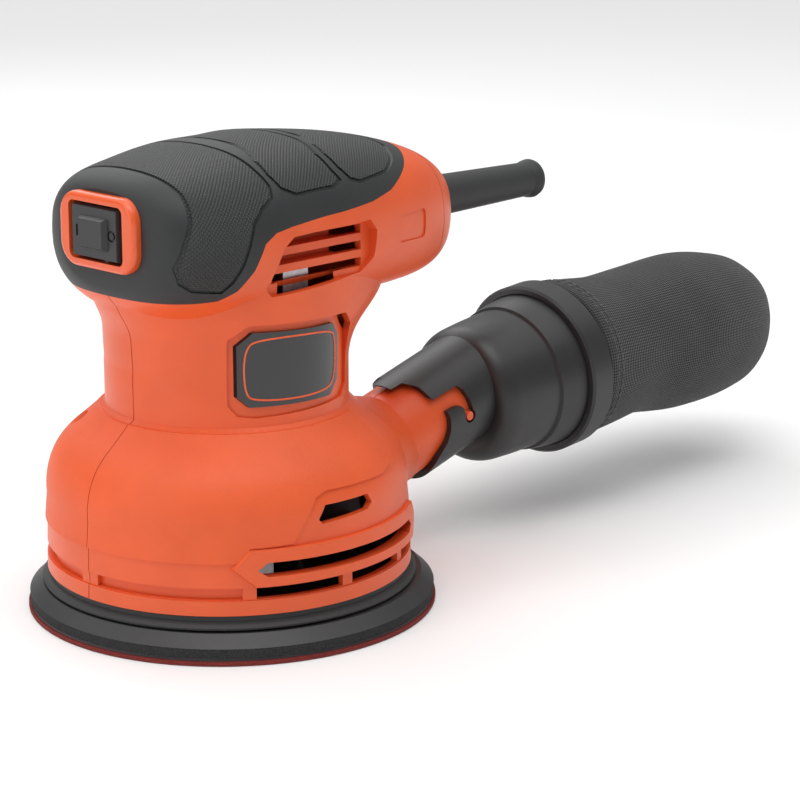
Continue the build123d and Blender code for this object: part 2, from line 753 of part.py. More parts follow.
with BuildPart() as counterweight:
    add(ring(0, 17.5, pad_bearing_low - 0.5, fan_low, orbit_offset))
    add(ring_sector(16.0, 43.0, 20.0, fan_low, 115, 130))
    add(ring(0, pad_bearing_radius, pad_bearing_low - 1, pad_bearing_high, orbit_offset),
        mode=Mode.SUBTRACT)
    add(ring(0, 7.5, pad_bearing_high - 0.5, pad_bearing_high + 0.8, orbit_offset),
        mode=Mode.SUBTRACT)
    add(ring(0, shaft_radius, 26, fan_low + 1), mode=Mode.SUBTRACT)
keep("counterweight", counterweight.part)

keep("pad_bearing", ball_bearing(6.0 + run_fit, pad_bearing_radius, pad_bearing_low,
                                 pad_bearing_high, orbit_offset))

# ---- pad, turning about its own axis -----------------------------------------------
def dust_holes(low, high):
    """The ring of extraction holes through a layer of the pad."""
    with BuildPart() as holes:
        with BuildSketch(Plane.XY.offset(low)):
            with Locations((orbit_offset, 0)):
                with PolarLocations(dust_hole_circle, dust_hole_count, 22.5):
                    Circle(dust_hole_radius)
        extrude(amount=high - low)
    return holes.part


with BuildPart() as pad_spindle:
    add(ring(0, 6.0, 11.6, pad_bearing_high - 0.5, orbit_offset))
    add(ring(0, 9.0, 11.6, pad_bearing_low - 0.7, orbit_offset))
    add(ring(0, 2.5, 11, 22, orbit_offset), mode=Mode.SUBTRACT)
keep("pad_spindle", pad_spindle.part)

with BuildPart() as backing_platen:
    with BuildSketch(Plane.XZ):
        with BuildLine():
            Polyline(
                (2.5, 8.0), (6.0, 8.0), (6.0, foam_top), (disc_radius - 0.5, foam_top),
                (disc_radius - 4.3, platen_rim_top), (50.5, platen_rim_top), (50.5, 7.6),
                (42.0, 7.6), (40.0, 8.2), (22.0, 8.2), (20.0, 10.2), (12.0, 11.6), (2.5, 11.6),
                close=True,
            )
        make_face()
    revolve(axis=Axis.Z)
backing_platen_part = Pos(orbit_offset, 0, 0) * backing_platen.part - dust_holes(4, 12)
keep("backing_platen", backing_platen_part)

with BuildPart() as pad_bolt:
    add(ring(0, 2.5, 7.0, 21.5, orbit_offset))
    add(ring(0, 4.6, 3.6, 7.0, orbit_offset))
    with BuildSketch(Plane.XY.offset(3.6)):
        with Locations((orbit_offset, 0)):
            RegularPolygon(2.3, 6)
    extrude(amount=2.2, mode=Mode.SUBTRACT)
keep("pad_bolt", pad_bolt.part)
keep("pad_washer", ring(2.5, 5.8, 7.0, 8.0, orbit_offset))

keep("foam_pad", ring(6.5, disc_radius - 0.6, hook_top, foam_top, orbit_offset)
     - dust_holes(0, foam_top + 1))
keep("hook_layer", ring(6.5, disc_radius - 0.9, disc_thickness, hook_top, orbit_offset)
     - dust_holes(0, foam_top + 1))
keep("sanding_disc", ring(0, disc_radius, 0, disc_thickness, orbit_offset)
     - dust_holes(-1, foam_top))

keep("brake_ring", turned([
    (52.9, 16.0), (51.2, 16.0), (51.2, 9.6), (54.0, 9.0), (57.0, 9.0), (57.2, 9.6), (56.2, 10.4),
    (54.8, 11.0), (54.8, 12.4), (52.9, 12.6),
]))

# ---- dust outlet -------------------------------------------------------------------
with BuildPart() as outlet_seal:
    with BuildSketch(outlet_end.offset(8.1)):
        Circle(spigot_radius + 0.2)
        Circle(spigot_radius - 0.9, mode=Mode.SUBTRACT)
    extrude(amount=1.8)
keep("outlet_seal", outlet_seal.part)

# The sleeve's mouth is scalloped, and its bayonet slot turns down to a round end.
mouth_outline = [(-30, 30), (-19.5, 20), (-19.5, 17.0), (-14.5, 16.9), (-11.8, 15.0), (-11.4, 11.5),
                 (-8.4, 6.0), (-8.4, 3.0), (-9.6, -0.5), (-11.8, -4.0), (-16.0, -8.0),
                 (-17.5, -12.0), (-18.0, -20), (-30, -30)]
slot_outline = [(-14, 11.0), (0.0, 10.6), (1.4, 8.6), (2.0, 5.0), (2.0, 0.0), (-1.6, 0.0),
                (-1.6, 3.6), (-2.4, 4.8), (-4.0, 5.3), (-9.0, 5.6), (-14, 5.6)]

with BuildPart() as dust_adapter:
    with BuildSketch(outlet_end.offset(-20)):
        Circle(sleeve_radius)
    extrude(amount=38)
    with BuildSketch(funnel_side):
        with BuildLine():
            Spline((-25, 17.0), (-24.4, 20.2), (-22.0, 22.3), (-16.0, 23.5), (-8.0, 24.0),
                   (0, funnel_radius))
            Polyline((0, funnel_radius), (0.5, funnel_radius + 0.9), (6, 26.0),
                     (11, collar_radius), (20, collar_radius), (20, 0), (-25, 0), (-25, 17.0))
        make_face()
    revolve(axis=funnel_axis)
    with BuildSketch(funnel_side):
        with BuildLine():
            Polyline((-23, 0), (-23, 15.2), (-22.4, 18.4), (-20.4, 20.4), (-15, 21.6), (-2, 22.3),
                     (2, 23.4), (10, 24.7), (22, 24.7), (22, 0), close=True)
        make_face()
    revolve(axis=funnel_axis, mode=Mode.SUBTRACT)
    with BuildSketch(outlet_end.offset(-22)):
        Circle(sleeve_bore)
    extrude(amount=38.5, mode=Mode.SUBTRACT)
    with BuildSketch(outlet_side.offset(-25)):
        with BuildLine():
            Polyline(*mouth_outline, close=True)
        make_face()
    extrude(amount=50, mode=Mode.SUBTRACT)
    for turn in (1, -1):
        with BuildSketch(outlet_side.offset(6 if turn == 1 else -6)):
            with BuildLine():
                Polyline(*[(s, turn * v) for s, v in slot_outline], close=True)
            make_face()
            with Locations((0.2, 0)):
                Circle(2.3)
        extrude(amount=20 * turn, mode=Mode.SUBTRACT)
keep("dust_adapter", dust_adapter.part)

with BuildPart() as bag_ring:
    with BuildSketch(funnel_side):
        with BuildLine():
            Polyline((11.5, collar_radius + 0.3), (11.5, bag_ring_radius - 0.8),
                     (12.3, bag_ring_radius), (21.2, bag_ring_radius),
                     (22.0, bag_ring_radius - 0.8), (22.0, collar_radius + 0.3), close=True)
        make_face()
    revolve(axis=funnel_axis)
keep("bag_ring", bag_ring.part)


def bag_solid(inset, front):
    """The filled bag, or its inside when it is set in by the cloth."""
    with BuildPart() as body:
        with BuildSketch(funnel_end.offset(front)):
            with BuildLine():
                Spline(*super_ellipse(27.6 - inset, 27.6 - inset, 0, 2.0, 16), periodic=True)
            make_face()
        for x, middle, half, rise in bag_stations:
            if x == bag_stations[-1][0]:
                x -= inset
            with BuildSketch(Plane.YZ.offset(x)):
                with BuildLine():
                    Spline(*super_ellipse(half - inset, rise - inset, middle, 2.0, 16),
                           periodic=True)
                make_face()
        loft()
    return body.part


with BuildPart() as dust_bag:
    add(bag_solid(0, bag_start))
    add(bag_solid(bag_wall, bag_start - 2), mode=Mode.SUBTRACT)
keep("dust_bag", dust_bag.part)

os.makedirs("parts", exist_ok=True)
for part in made:
    export_step(part, f"parts/{part.label}.step")
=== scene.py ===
import json
import math

import bmesh
import bpy
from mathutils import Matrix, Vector, noise


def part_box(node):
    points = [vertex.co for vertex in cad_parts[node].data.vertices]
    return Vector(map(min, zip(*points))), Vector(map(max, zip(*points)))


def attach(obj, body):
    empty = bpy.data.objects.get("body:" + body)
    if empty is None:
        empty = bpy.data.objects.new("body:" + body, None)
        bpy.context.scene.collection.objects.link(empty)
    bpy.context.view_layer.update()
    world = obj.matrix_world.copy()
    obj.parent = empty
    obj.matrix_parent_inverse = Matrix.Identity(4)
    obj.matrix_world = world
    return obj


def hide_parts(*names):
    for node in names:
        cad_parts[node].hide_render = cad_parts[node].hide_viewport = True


bl_info = {
    "name": "Palm sander",
    "version": (1, 0, 0),
    "blender": (4, 5, 0),
    "location": "3D Viewport > Sidebar > Sander",
    "description": "Finishes a palm sander: housing, grip, badges, motor, dust outlet and cloth bag",
    "category": "Add Mesh",
}

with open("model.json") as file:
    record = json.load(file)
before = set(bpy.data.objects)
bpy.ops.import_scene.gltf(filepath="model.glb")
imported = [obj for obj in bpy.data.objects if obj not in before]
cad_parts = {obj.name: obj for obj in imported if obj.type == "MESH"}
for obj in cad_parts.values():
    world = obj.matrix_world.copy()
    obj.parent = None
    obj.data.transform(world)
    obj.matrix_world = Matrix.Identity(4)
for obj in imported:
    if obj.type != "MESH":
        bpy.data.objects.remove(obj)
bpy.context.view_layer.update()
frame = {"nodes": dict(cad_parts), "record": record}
MM = 0.001
BADGE_FACE = -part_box("left_badge")[0].y     # how far the badges' faces stand from the motor axis
GRAIN_LOW, GRAIN_HIGH = 28.0, 62.6          # heights of the bell's grained panel, in millimetres
GRAIN_RADIUS = 37.5                         # nearer than this to the motor axis nothing is grained
HANDLE_HEIGHT, HANDLE_RADIUS = 116.0, 31.0  # middle and mean radius of the handle's round top


# ---- sizes and colours that a user would change ----------------------------------------
class SanderColours(bpy.types.PropertyGroup):
    orange: bpy.props.FloatVectorProperty(
        name="Orange plastic", description="Colour of the housing and the switch frame",
        subtype="COLOR", size=3, min=0, max=1, default=(0.80, 0.110, 0.026))
    rubber: bpy.props.FloatVectorProperty(
        name="Rubber", description="Colour of the grip and the cord sleeve",
        subtype="COLOR", size=3, min=0, max=1, default=(0.024, 0.025, 0.026))
    black: bpy.props.FloatVectorProperty(
        name="Black plastic", description="Colour of the dust outlet, the pad plate and the rocker",
        subtype="COLOR", size=3, min=0, max=1, default=(0.022, 0.022, 0.023))
    cloth: bpy.props.FloatVectorProperty(
        name="Bag cloth", description="Colour of the dust bag's yarn",
        subtype="COLOR", size=3, min=0, max=1, default=(0.030, 0.030, 0.031))
    abrasive: bpy.props.FloatVectorProperty(
        name="Abrasive", description="Colour of the sanding disc's grit",
        subtype="COLOR", size=3, min=0, max=1, default=(0.16, 0.018, 0.014))
    floor: bpy.props.FloatVectorProperty(
        name="Floor", description="Colour of the floor and of the room's light",
        subtype="COLOR", size=3, min=0, max=1, default=(0.93, 0.93, 0.93))


class SanderSizes(bpy.types.PropertyGroup):
    grain: bpy.props.FloatProperty(
        name="Housing grain", description="Size of one grain in the bell's textured panel",
        unit="LENGTH", min=0.0001, default=0.0006)
    knurl: bpy.props.FloatProperty(
        name="Knurl pitch", description="Spacing of the diamonds in the grip's pads",
        unit="LENGTH", min=0.0005, default=0.0012)
    weave: bpy.props.FloatProperty(
        name="Weave pitch", description="Spacing of the bag cloth's yarns",
        unit="LENGTH", min=0.0003, default=0.0010)
    wrinkle: bpy.props.FloatProperty(
        name="Wrinkle depth", description="How far the bag's cloth dents and bulges",
        unit="LENGTH", min=0, default=0.0008)
    cloth_thickness: bpy.props.FloatProperty(
        name="Cloth thickness", description="Thickness of the bag's cloth",
        unit="LENGTH", min=0.0003, default=0.0009)
    stitch: bpy.props.FloatProperty(
        name="Stitch pitch", description="Spacing of the stitches along the bag's seams",
        unit="LENGTH", min=0.001, default=0.0032)
    outline_inset: bpy.props.FloatProperty(
        name="Badge line inset", description="Distance of the badge's line from its edge",
        unit="LENGTH", min=0.0005, default=0.0017)
    outline_width: bpy.props.FloatProperty(
        name="Badge line width", description="Width of the badge's line",
        unit="LENGTH", min=0.0002, default=0.0006)


class SanderStage(bpy.types.PropertyGroup):
    heading: bpy.props.FloatProperty(
        name="Camera heading", description="Way the camera faces, from +Y towards +X",
        subtype="ANGLE", unit="ROTATION", default=math.radians(46))
    pitch: bpy.props.FloatProperty(
        name="Camera pitch", description="How far the camera looks down",
        subtype="ANGLE", unit="ROTATION", default=math.radians(14.86))
    place: bpy.props.FloatVectorProperty(
        name="Camera place", description="Where the camera stands",
        subtype="TRANSLATION", unit="LENGTH", size=3, default=(-0.4897, -0.54554, 0.25623))
    lens: bpy.props.FloatProperty(
        name="Lens", description="Focal length in millimetres on a 36 mm sensor",
        min=10, default=112.5)
    sky_power: bpy.props.FloatProperty(
        name="Sky light", description="Power of the broad light high over the floor",
        unit="POWER", min=0, default=150.0)
    key_power: bpy.props.FloatProperty(
        name="Key light", description="Power of the light above the near side",
        unit="POWER", min=0, default=4.0)
    side_power: bpy.props.FloatProperty(
        name="Side light", description="Power of the soft light at the left",
        unit="POWER", min=0, default=2.2)
    rim_power: bpy.props.FloatProperty(
        name="Rim light", description="Power of the light behind the dust outlet",
        unit="POWER", min=0, default=2.5)
    room: bpy.props.FloatProperty(
        name="Room light", description="Strength of the light from all round",
        min=0, default=0.30)


# ---- material building blocks ----------------------------------------------------------
def new_material(name, colour, roughness, metallic=0.0, specular=0.5, coat=0.0, sheen=0.0):
    """A Principled material whose plain numbers are set on the shader itself."""
    material = bpy.data.materials.new(name)
    material.use_nodes = True
    shader = material.node_tree.nodes["Principled BSDF"]
    shader.inputs["Base Color"].default_value = (*colour, 1)
    shader.inputs["Roughness"].default_value = roughness
    shader.inputs["Metallic"].default_value = metallic
    shader.inputs["Specular IOR Level"].default_value = specular
    shader.inputs["Coat Weight"].default_value = coat
    shader.inputs["Sheen Weight"].default_value = sheen
    material.diffuse_color = (*colour, 1)
    return material, material.node_tree, shader


def add(tree, kind, **settings):
    """One shader node, with its settings."""
    node = tree.nodes.new(kind)
    for key, value in settings.items():
        setattr(node, key, value)
    return node


def coordinates(tree, scale=(1, 1, 1)):
    """Object coordinates, stretched for a pattern."""
    where = add(tree, "ShaderNodeTexCoord")
    mapping = add(tree, "ShaderNodeMapping")
    mapping.inputs["Scale"].default_value = scale
    tree.links.new(where.outputs["Object"], mapping.inputs["Vector"])
    return mapping.outputs["Vector"]


def noise_value(tree, vector, scale, detail=3.0):
    """Soft noise, 0 to 1."""
    node = add(tree, "ShaderNodeTexNoise")
    node.inputs["Scale"].default_value = scale
    node.inputs["Detail"].default_value = detail
    tree.links.new(vector, node.inputs["Vector"])
    return node.outputs["Fac"]


def cells(tree, vector, scale):
    """Distance from the middle of each round cell."""
    node = add(tree, "ShaderNodeTexVoronoi")
    node.inputs["Scale"].default_value = scale
    tree.links.new(vector, node.inputs["Vector"])
    return node.outputs["Distance"]


def maths(tree, operation, first, second=None, constant=None):
    """One sum: first and second are sockets, constant a plain number."""
    node = add(tree, "ShaderNodeMath", operation=operation)
    tree.links.new(first, node.inputs[0])
    if second is not None:
        tree.links.new(second, node.inputs[1])
    if constant is not None:
        node.inputs[1].default_value = constant
    return node.outputs["Value"]


def spread(tree, value, low, high):
    """Maps 0..1 to low..high."""
    node = add(tree, "ShaderNodeMapRange")
    node.inputs["To Min"].default_value = low
    node.inputs["To Max"].default_value = high
    tree.links.new(value, node.inputs["Value"])
    return node.outputs["Result"]


def tint(tree, shader, value, low, high, low_at=0.3, high_at=0.7):
    """Colours the surface between two colours by a value."""
    node = add(tree, "ShaderNodeValToRGB")
    node.color_ramp.elements[0].position = low_at
    node.color_ramp.elements[1].position = high_at
    node.color_ramp.elements[0].color = (*low, 1)
    node.color_ramp.elements[1].color = (*high, 1)
    tree.links.new(value, node.inputs["Fac"])
    tree.links.new(node.outputs["Color"], shader.inputs["Base Color"])


def bump(tree, shader, height, depth, strength=1.0):
    """Raises the surface by a height, 0 to 1, times a depth in metres."""
    node = add(tree, "ShaderNodeBump")
    node.inputs["Strength"].default_value = strength
    node.inputs["Distance"].default_value = depth
    tree.links.new(height, node.inputs["Height"])
    tree.links.new(node.outputs["Normal"], shader.inputs["Normal"])


def marked(tree, name):
    """A number stored on the mesh."""
    return add(tree, "ShaderNodeAttribute", attribute_name=name).outputs["Fac"]


def ridge(tree, value, pitch):
    """Even round ridges, one to each pitch, 0 between them and 1 on top."""
    turn = maths(tree, "MULTIPLY", value, constant=math.pi / pitch)
    return maths(tree, "ABSOLUTE", maths(tree, "SINE", turn))


def shade(colour, factor):
    """A colour made darker or lighter."""
    return tuple(min(1, channel * factor) for channel in colour)


# ---- finishes --------------------------------------------------------------------------
def orange_plastic(colours, sizes):
    """Moulded orange plastic: nearly smooth, with a grain where the mesh is marked."""
    colour = tuple(colours.orange)
    material, tree, shader = new_material("orange_plastic", colour, 0.42, specular=0.45)
    place = coordinates(tree)
    grain = noise_value(tree, place, 1 / sizes.grain, 2.0)
    swell = noise_value(tree, place, 60, 2.0)
    tint(tree, shader, swell, shade(colour, 0.95), shade(colour, 1.04))
    mask = marked(tree, "grain")
    fine = maths(tree, "MULTIPLY", grain, spread(tree, mask, 0.12, 1.0))
    bump(tree, shader, fine, 0.00022, 0.55)
    rough = maths(tree, "ADD", spread(tree, mask, 0.36, 0.50), maths(
        tree, "MULTIPLY", grain, constant=0.06))
    tree.links.new(rough, shader.inputs["Roughness"])
    return material


def glossy_orange(colours, sizes):
    """The switch frame: the same orange, polished."""
    colour = tuple(colours.orange)
    material, tree, shader = new_material("glossy_orange", colour, 0.24, specular=0.5, coat=0.15)
    swell = noise_value(tree, coordinates(tree), 900, 2.0)
    tint(tree, shader, swell, shade(colour, 0.97), shade(colour, 1.02))
    bump(tree, shader, swell, 0.00002, 0.4)
    return material


def grip_rubber(colours, sizes):
    """Soft grip rubber, knurled in small diamonds where the mesh is marked as a pad."""
    colour = tuple(colours.rubber)
    material, tree, shader = new_material("grip_rubber", colour, 0.55, specular=0.4, sheen=0.05)
    split = add(tree, "ShaderNodeSeparateXYZ")
    wrap = add(tree, "ShaderNodeAttribute", attribute_name="wrap")
    tree.links.new(wrap.outputs["Vector"], split.inputs["Vector"])
    ridges = [ridge(tree, maths(tree, sign, split.outputs["X"], split.outputs["Y"]), sizes.knurl)
              for sign in ("ADD", "SUBTRACT")]
    pad = marked(tree, "pad")
    diamonds = maths(tree, "MULTIPLY", maths(tree, "MULTIPLY", ridges[0], ridges[1]), pad)
    speck = noise_value(tree, coordinates(tree), 2600, 2.0)
    height = maths(tree, "ADD", diamonds, maths(tree, "MULTIPLY", speck, constant=0.10))
    bump(tree, shader, height, 0.00035, 0.8)
    # Painted light and shade: the diamonds' tops are painted lighter than the grooves between them,
    # following their height.
    tint(tree, shader, diamonds, colour, shade(colour, 1.35), 0.1, 0.9)
    rough = maths(tree, "SUBTRACT", spread(tree, speck, 0.50, 0.60),
                  maths(tree, "MULTIPLY", pad, constant=0.06))
    tree.links.new(rough, shader.inputs["Roughness"])
    return material


def speckled(name, colour, rough, grain, depth, light=1.25, coat=0.0, specular=0.5, sheen=0.0):
    """Moulded plastic or rubber: a fine even grain, a little cloudy in colour and gloss."""
    material, tree, shader = new_material(name, colour, rough, specular=specular, coat=coat,
                                          sheen=sheen)
    place = coordinates(tree)
    fine = noise_value(tree, place, 1 / grain, 3.0)
    cloud = noise_value(tree, place, 45, 3.0)
    tint(tree, shader, cloud, colour, shade(colour, light))
    tree.links.new(spread(tree, cloud, rough - 0.05, rough + 0.05), shader.inputs["Roughness"])
    bump(tree, shader, fine, depth, 0.6)
    return material


def metal(name, colour, rough, stretch, scale, depth=0.00002):
    """Bare metal with fine scratches drawn out one way."""
    material, tree, shader = new_material(name, colour, rough, metallic=1.0)
    scratch = noise_value(tree, coordinates(tree, stretch), scale, 4.0)
    tint(tree, shader, scratch, shade(colour, 0.8), shade(colour, 1.08))
    tree.links.new(spread(tree, scratch, rough - 0.1, rough + 0.12), shader.inputs["Roughness"])
    bump(tree, shader, scratch, depth, 0.5)
    return material


def banded(name, low, high, rough, metallic, pitch, axis, depth):
    """Layers or turns of wire: even bands along one axis."""
    material, tree, shader = new_material(name, high, rough, metallic=metallic)
    split = add(tree, "ShaderNodeSeparateXYZ")
    tree.links.new(coordinates(tree), split.inputs["Vector"])
    band = ridge(tree, split.outputs[axis], pitch)
    # The bands are painted darker between their ridges: on the copper this is painted shade in the
    # grooves between the turns of wire, on the lamination the dark joints between the sheets.
    tint(tree, shader, band, low, high, 0.1, 0.8)
    bump(tree, shader, band, depth, 0.7)
    return material


def foam(colours):
    """Closed foam: small round cells that show at its edge."""
    colour = shade(tuple(colours.rubber), 1.1)
    material, tree, shader = new_material("pad_foam", colour, 0.85, specular=0.2)
    bubbles = cells(tree, coordinates(tree), 2200)
    # Painted shade: each cell is painted darker towards its sunk middle and lighter at its rim.
    tint(tree, shader, bubbles, shade(colour, 0.6), shade(colour, 1.5), 0.1, 0.7)
    bump(tree, shader, bubbles, 0.0002, 0.8)
    return material


def grit(colours):
    """Coated abrasive: sharp grains in a red-brown binder."""
    colour = tuple(colours.abrasive)
    material, tree, shader = new_material("abrasive_grit", colour, 0.75, specular=0.35)
    grains = cells(tree, coordinates(tree), 3200)
    patches = noise_value(tree, coordinates(tree), 300, 2.0)
    both = maths(tree, "MULTIPLY", grains, spread(tree, patches, 0.7, 1.3))
    tint(tree, shader, both, shade(colour, 0.55), shade(colour, 1.7), 0.1, 0.75)
    bump(tree, shader, grains, 0.0002, 0.9)
    return material


def woven_cloth(colours, sizes):
    """Plain-weave bag cloth: yarns over and under, with a gap at each crossing."""
    colour = tuple(colours.cloth)
    material, tree, shader = new_material("bag_weave", colour, 0.78, specular=0.3, sheen=0.25)
    shader.inputs["Sheen Roughness"].default_value = 0.4
    where = add(tree, "ShaderNodeUVMap", uv_map="cloth")
    split = add(tree, "ShaderNodeSeparateXYZ")
    tree.links.new(where.outputs["UV"], split.inputs["Vector"])
    yarns = [ridge(tree, split.outputs[side], sizes.weave) for side in ("X", "Y")]
    crossing = maths(tree, "MULTIPLY", yarns[0], yarns[1])
    slub = noise_value(tree, coordinates(tree, (1, 4, 4)), 220, 3.0)
    height = maths(tree, "ADD", crossing, maths(tree, "MULTIPLY", slub, constant=0.35))
    bump(tree, shader, height, 0.0003, 0.9)
    # Painted shade and highlight: the hollows between the yarns are painted dark and the yarns' tops
    # light, following the weave's height; the slub only varies the tone at random.
    tint(tree, shader, maths(tree, "MULTIPLY", crossing, spread(tree, slub, 0.8, 1.2)),
         shade(colour, 0.45), shade(colour, 1.9), 0.05, 0.75)
    return material


def make_finishes(scene):
    """Every finish of the sander, by slot."""
    colours, sizes = scene.sander_colours, scene.sander_sizes
    black, rubber = tuple(colours.black), tuple(colours.rubber)
    return {
        "orange_plastic": orange_plastic(colours, sizes),
        "glossy_orange": glossy_orange(colours, sizes),
        "grip_rubber": grip_rubber(colours, sizes),
        "bag_cloth": woven_cloth(colours, sizes),
        "black_rubber": speckled("black_rubber", rubber, 0.62, 0.0005, 0.00006, 1.2, sheen=0.05),
        "black_plastic": speckled("black_plastic", black, 0.40, 0.0006, 0.00004, 1.25),
        "rocker_plastic": speckled("rocker_plastic", black, 0.32, 0.0004, 0.00003, 1.15),
        "platen_plastic": speckled("platen_plastic", shade(black, 1.15), 0.45, 0.0007, 0.00006),
        "glossy_black": speckled("glossy_black", (0.012, 0.012, 0.013), 0.16, 0.002, 0.00001, 1.1,
                                 coat=0.4),
        "grey_plastic": speckled("grey_plastic", (0.13, 0.13, 0.14), 0.5, 0.0008, 0.00005),
        "carbon": speckled("carbon", (0.012, 0.012, 0.013), 0.7, 0.0004, 0.00005, 1.5),
        "hook": speckled("hook", (0.05, 0.05, 0.052), 0.9, 0.0004, 0.0003, 1.6, sheen=0.4),
        "steel": metal("steel", (0.56, 0.56, 0.58), 0.32, (1, 1, 12), 900),
        "alloy": metal("alloy", (0.62, 0.62, 0.64), 0.45, (1, 1, 1), 700, 0.00006),
        "copper": banded("copper", (0.25, 0.07, 0.02), (0.78, 0.32, 0.13), 0.35, 1.0, 0.0007,
                         "Z", 0.0002),
        "lamination": banded("lamination", (0.10, 0.10, 0.11), (0.38, 0.38, 0.40), 0.5, 0.9,
                             0.0006, "Z", 0.0001),
        "foam": foam(colours),
        "abrasive": grit(colours),
    }


FINISHES = {}
SPECIAL_FINISH = {"switch_bezel": "glossy_orange", "rocker_button": "rocker_plastic",
                  "backing_platen": "platen_plastic"}


def wear(piece, finish):
    """Gives a piece one finish."""
    piece.data.materials.clear()
    piece.data.materials.append(FINISHES[finish])


# ---- mesh building blocks --------------------------------------------------------------
def show(name, mesh):
    """Puts a mesh in the scene as an object at the origin."""
    piece = bpy.data.objects.new(name, mesh)
    bpy.context.scene.collection.objects.link(piece)
    return piece


def finished_copy(node, name):
    """A merged, smooth-shaded copy of a CAD node, to carry marks that its finish reads."""
    mesh = frame["nodes"][node].data.copy()
    mesh.name = name
    work = bmesh.new()
    work.from_mesh(mesh)
    bmesh.ops.remove_doubles(work, verts=work.verts, dist=1e-6)
    work.to_mesh(mesh)
    work.free()
    if mesh.has_custom_normals:
        mesh.attributes.remove(mesh.attributes["custom_normal"])
    mesh.shade_smooth()
    mesh.set_sharp_from_angle(angle=math.radians(28))
    return show(name, mesh)


def mark_faces(piece, name, rule):
    """Stores rule(face centre) on every face."""
    mark = piece.data.attributes.new(name, "FLOAT", "FACE")
    mark.data.foreach_set("value", [rule(face.center) for face in piece.data.polygons])


def inside(outline, across, up):
    """Whether a point of the side view lies in an outline, in millimetres."""
    odd = False
    for (x_one, z_one), (x_two, z_two) in zip(outline, outline[1:] + outline[:1]):
        if (z_one > up) != (z_two > up):
            if across < x_one + (up - z_one) * (x_two - x_one) / (z_two - z_one):
                odd = not odd
    return odd


def link_mesh(name, work):
    """Ends a bmesh as an object at the origin, smooth-shaded."""
    mesh = bpy.data.meshes.new(name)
    work.to_mesh(mesh)
    work.free()
    mesh.shade_smooth()
    return show(name, mesh)


def settle(piece, body):
    """Puts a finished piece on its body."""
    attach(piece, body)


def between(stations, at):
    """A smooth value between stations of (place, value...), through every station."""
    last = len(stations) - 1
    at = min(max(at, stations[0][0]), stations[last][0])
    start = max(index for index in range(last) if stations[index][0] <= at)
    here, after = stations[start], stations[start + 1]
    before, beyond = stations[max(0, start - 1)], stations[min(last, start + 2)]
    width = after[0] - here[0]
    share = (at - here[0]) / width
    values = []
    for index in range(1, len(here)):
        slope_here = (after[index] - before[index]) / (after[0] - before[0]) * width
        slope_after = (beyond[index] - here[index]) / (beyond[0] - here[0]) * width
        rise = after[index] - here[index]
        values.append(
            here[index] + share * (slope_here + share * (
                3 * rise - 2 * slope_here - slope_after
                + share * (slope_here + slope_after - 2 * rise))))
    return values


# ---- geometry nodes --------------------------------------------------------------------
def new_tree(name, inputs):
    """A geometry group with named inputs: (name, kind, default)."""
    group = bpy.data.node_groups.new(name, "GeometryNodeTree")
    group.interface.new_socket("Geometry", in_out="INPUT", socket_type="NodeSocketGeometry")
    group.interface.new_socket("Geometry", in_out="OUTPUT", socket_type="NodeSocketGeometry")
    sockets = {}
    for label, kind, default in inputs:
        socket = group.interface.new_socket(label, in_out="INPUT", socket_type=kind)
        if default is not None:
            socket.default_value = default
        sockets[label] = socket.identifier
    return group, sockets


def end_tree(group, start, made):
    """Ends a group: instances made real, smooth-shaded, and given the finish."""
    nodes, links = group.nodes, group.links
    real = nodes.new("GeometryNodeRealizeInstances")
    smooth = nodes.new("GeometryNodeSetShadeSmooth")
    finish = nodes.new("GeometryNodeSetMaterial")
    end = nodes.new("NodeGroupOutput")
    links.new(made, real.inputs["Geometry"])
    links.new(real.outputs["Geometry"], smooth.inputs["Geometry"])
    links.new(smooth.outputs["Geometry"], finish.inputs["Geometry"])
    links.new(start.outputs["Finish"], finish.inputs["Material"])
    links.new(finish.outputs["Geometry"], end.inputs["Geometry"])


def stitch_tree():
    """Short raised stitches, evenly along a curve, lying the way it runs."""
    group, sockets = new_tree("Stitches along a seam", [
        ("Pitch", "NodeSocketFloat", 0.0032), ("Length", "NodeSocketFloat", 0.0022),
        ("Thickness", "NodeSocketFloat", 0.0003), ("Finish", "NodeSocketMaterial", None)])
    nodes, links = group.nodes, group.links
    start = nodes.new("NodeGroupInput")
    points = nodes.new("GeometryNodeCurveToPoints")
    points.mode = "LENGTH"
    stitch = nodes.new("GeometryNodeMeshCylinder")
    stitch.inputs["Vertices"].default_value = 6
    place = nodes.new("GeometryNodeInstanceOnPoints")
    turn = nodes.new("FunctionNodeAlignRotationToVector")
    turn.axis = "Z"
    links.new(start.outputs["Geometry"], points.inputs["Curve"])
    links.new(start.outputs["Pitch"], points.inputs["Length"])
    links.new(start.outputs["Length"], stitch.inputs["Depth"])
    links.new(start.outputs["Thickness"], stitch.inputs["Radius"])
    links.new(points.outputs["Tangent"], turn.inputs["Vector"])
    links.new(points.outputs["Points"], place.inputs["Points"])
    links.new(stitch.outputs["Mesh"], place.inputs["Instance"])
    links.new(turn.outputs["Rotation"], place.inputs["Rotation"])
    end_tree(group, start, place.outputs["Instances"])
    return group, sockets


def strip_tree():
    """A round strip that follows a curve, as a printed line or a sewn welt."""
    group, sockets = new_tree("Strip along a path", [
        ("Radius", "NodeSocketFloat", 0.0003), ("Finish", "NodeSocketMaterial", None)])
    nodes, links = group.nodes, group.links
    start = nodes.new("NodeGroupInput")
    profile = nodes.new("GeometryNodeCurvePrimitiveCircle")
    profile.inputs["Resolution"].default_value = 8
    sweep = nodes.new("GeometryNodeCurveToMesh")
    sweep.inputs["Fill Caps"].default_value = True
    links.new(start.outputs["Radius"], profile.inputs["Radius"])
    links.new(start.outputs["Geometry"], sweep.inputs["Curve"])
    links.new(profile.outputs["Curve"], sweep.inputs["Profile Curve"])
    end_tree(group, start, sweep.outputs["Mesh"])
    return group, sockets


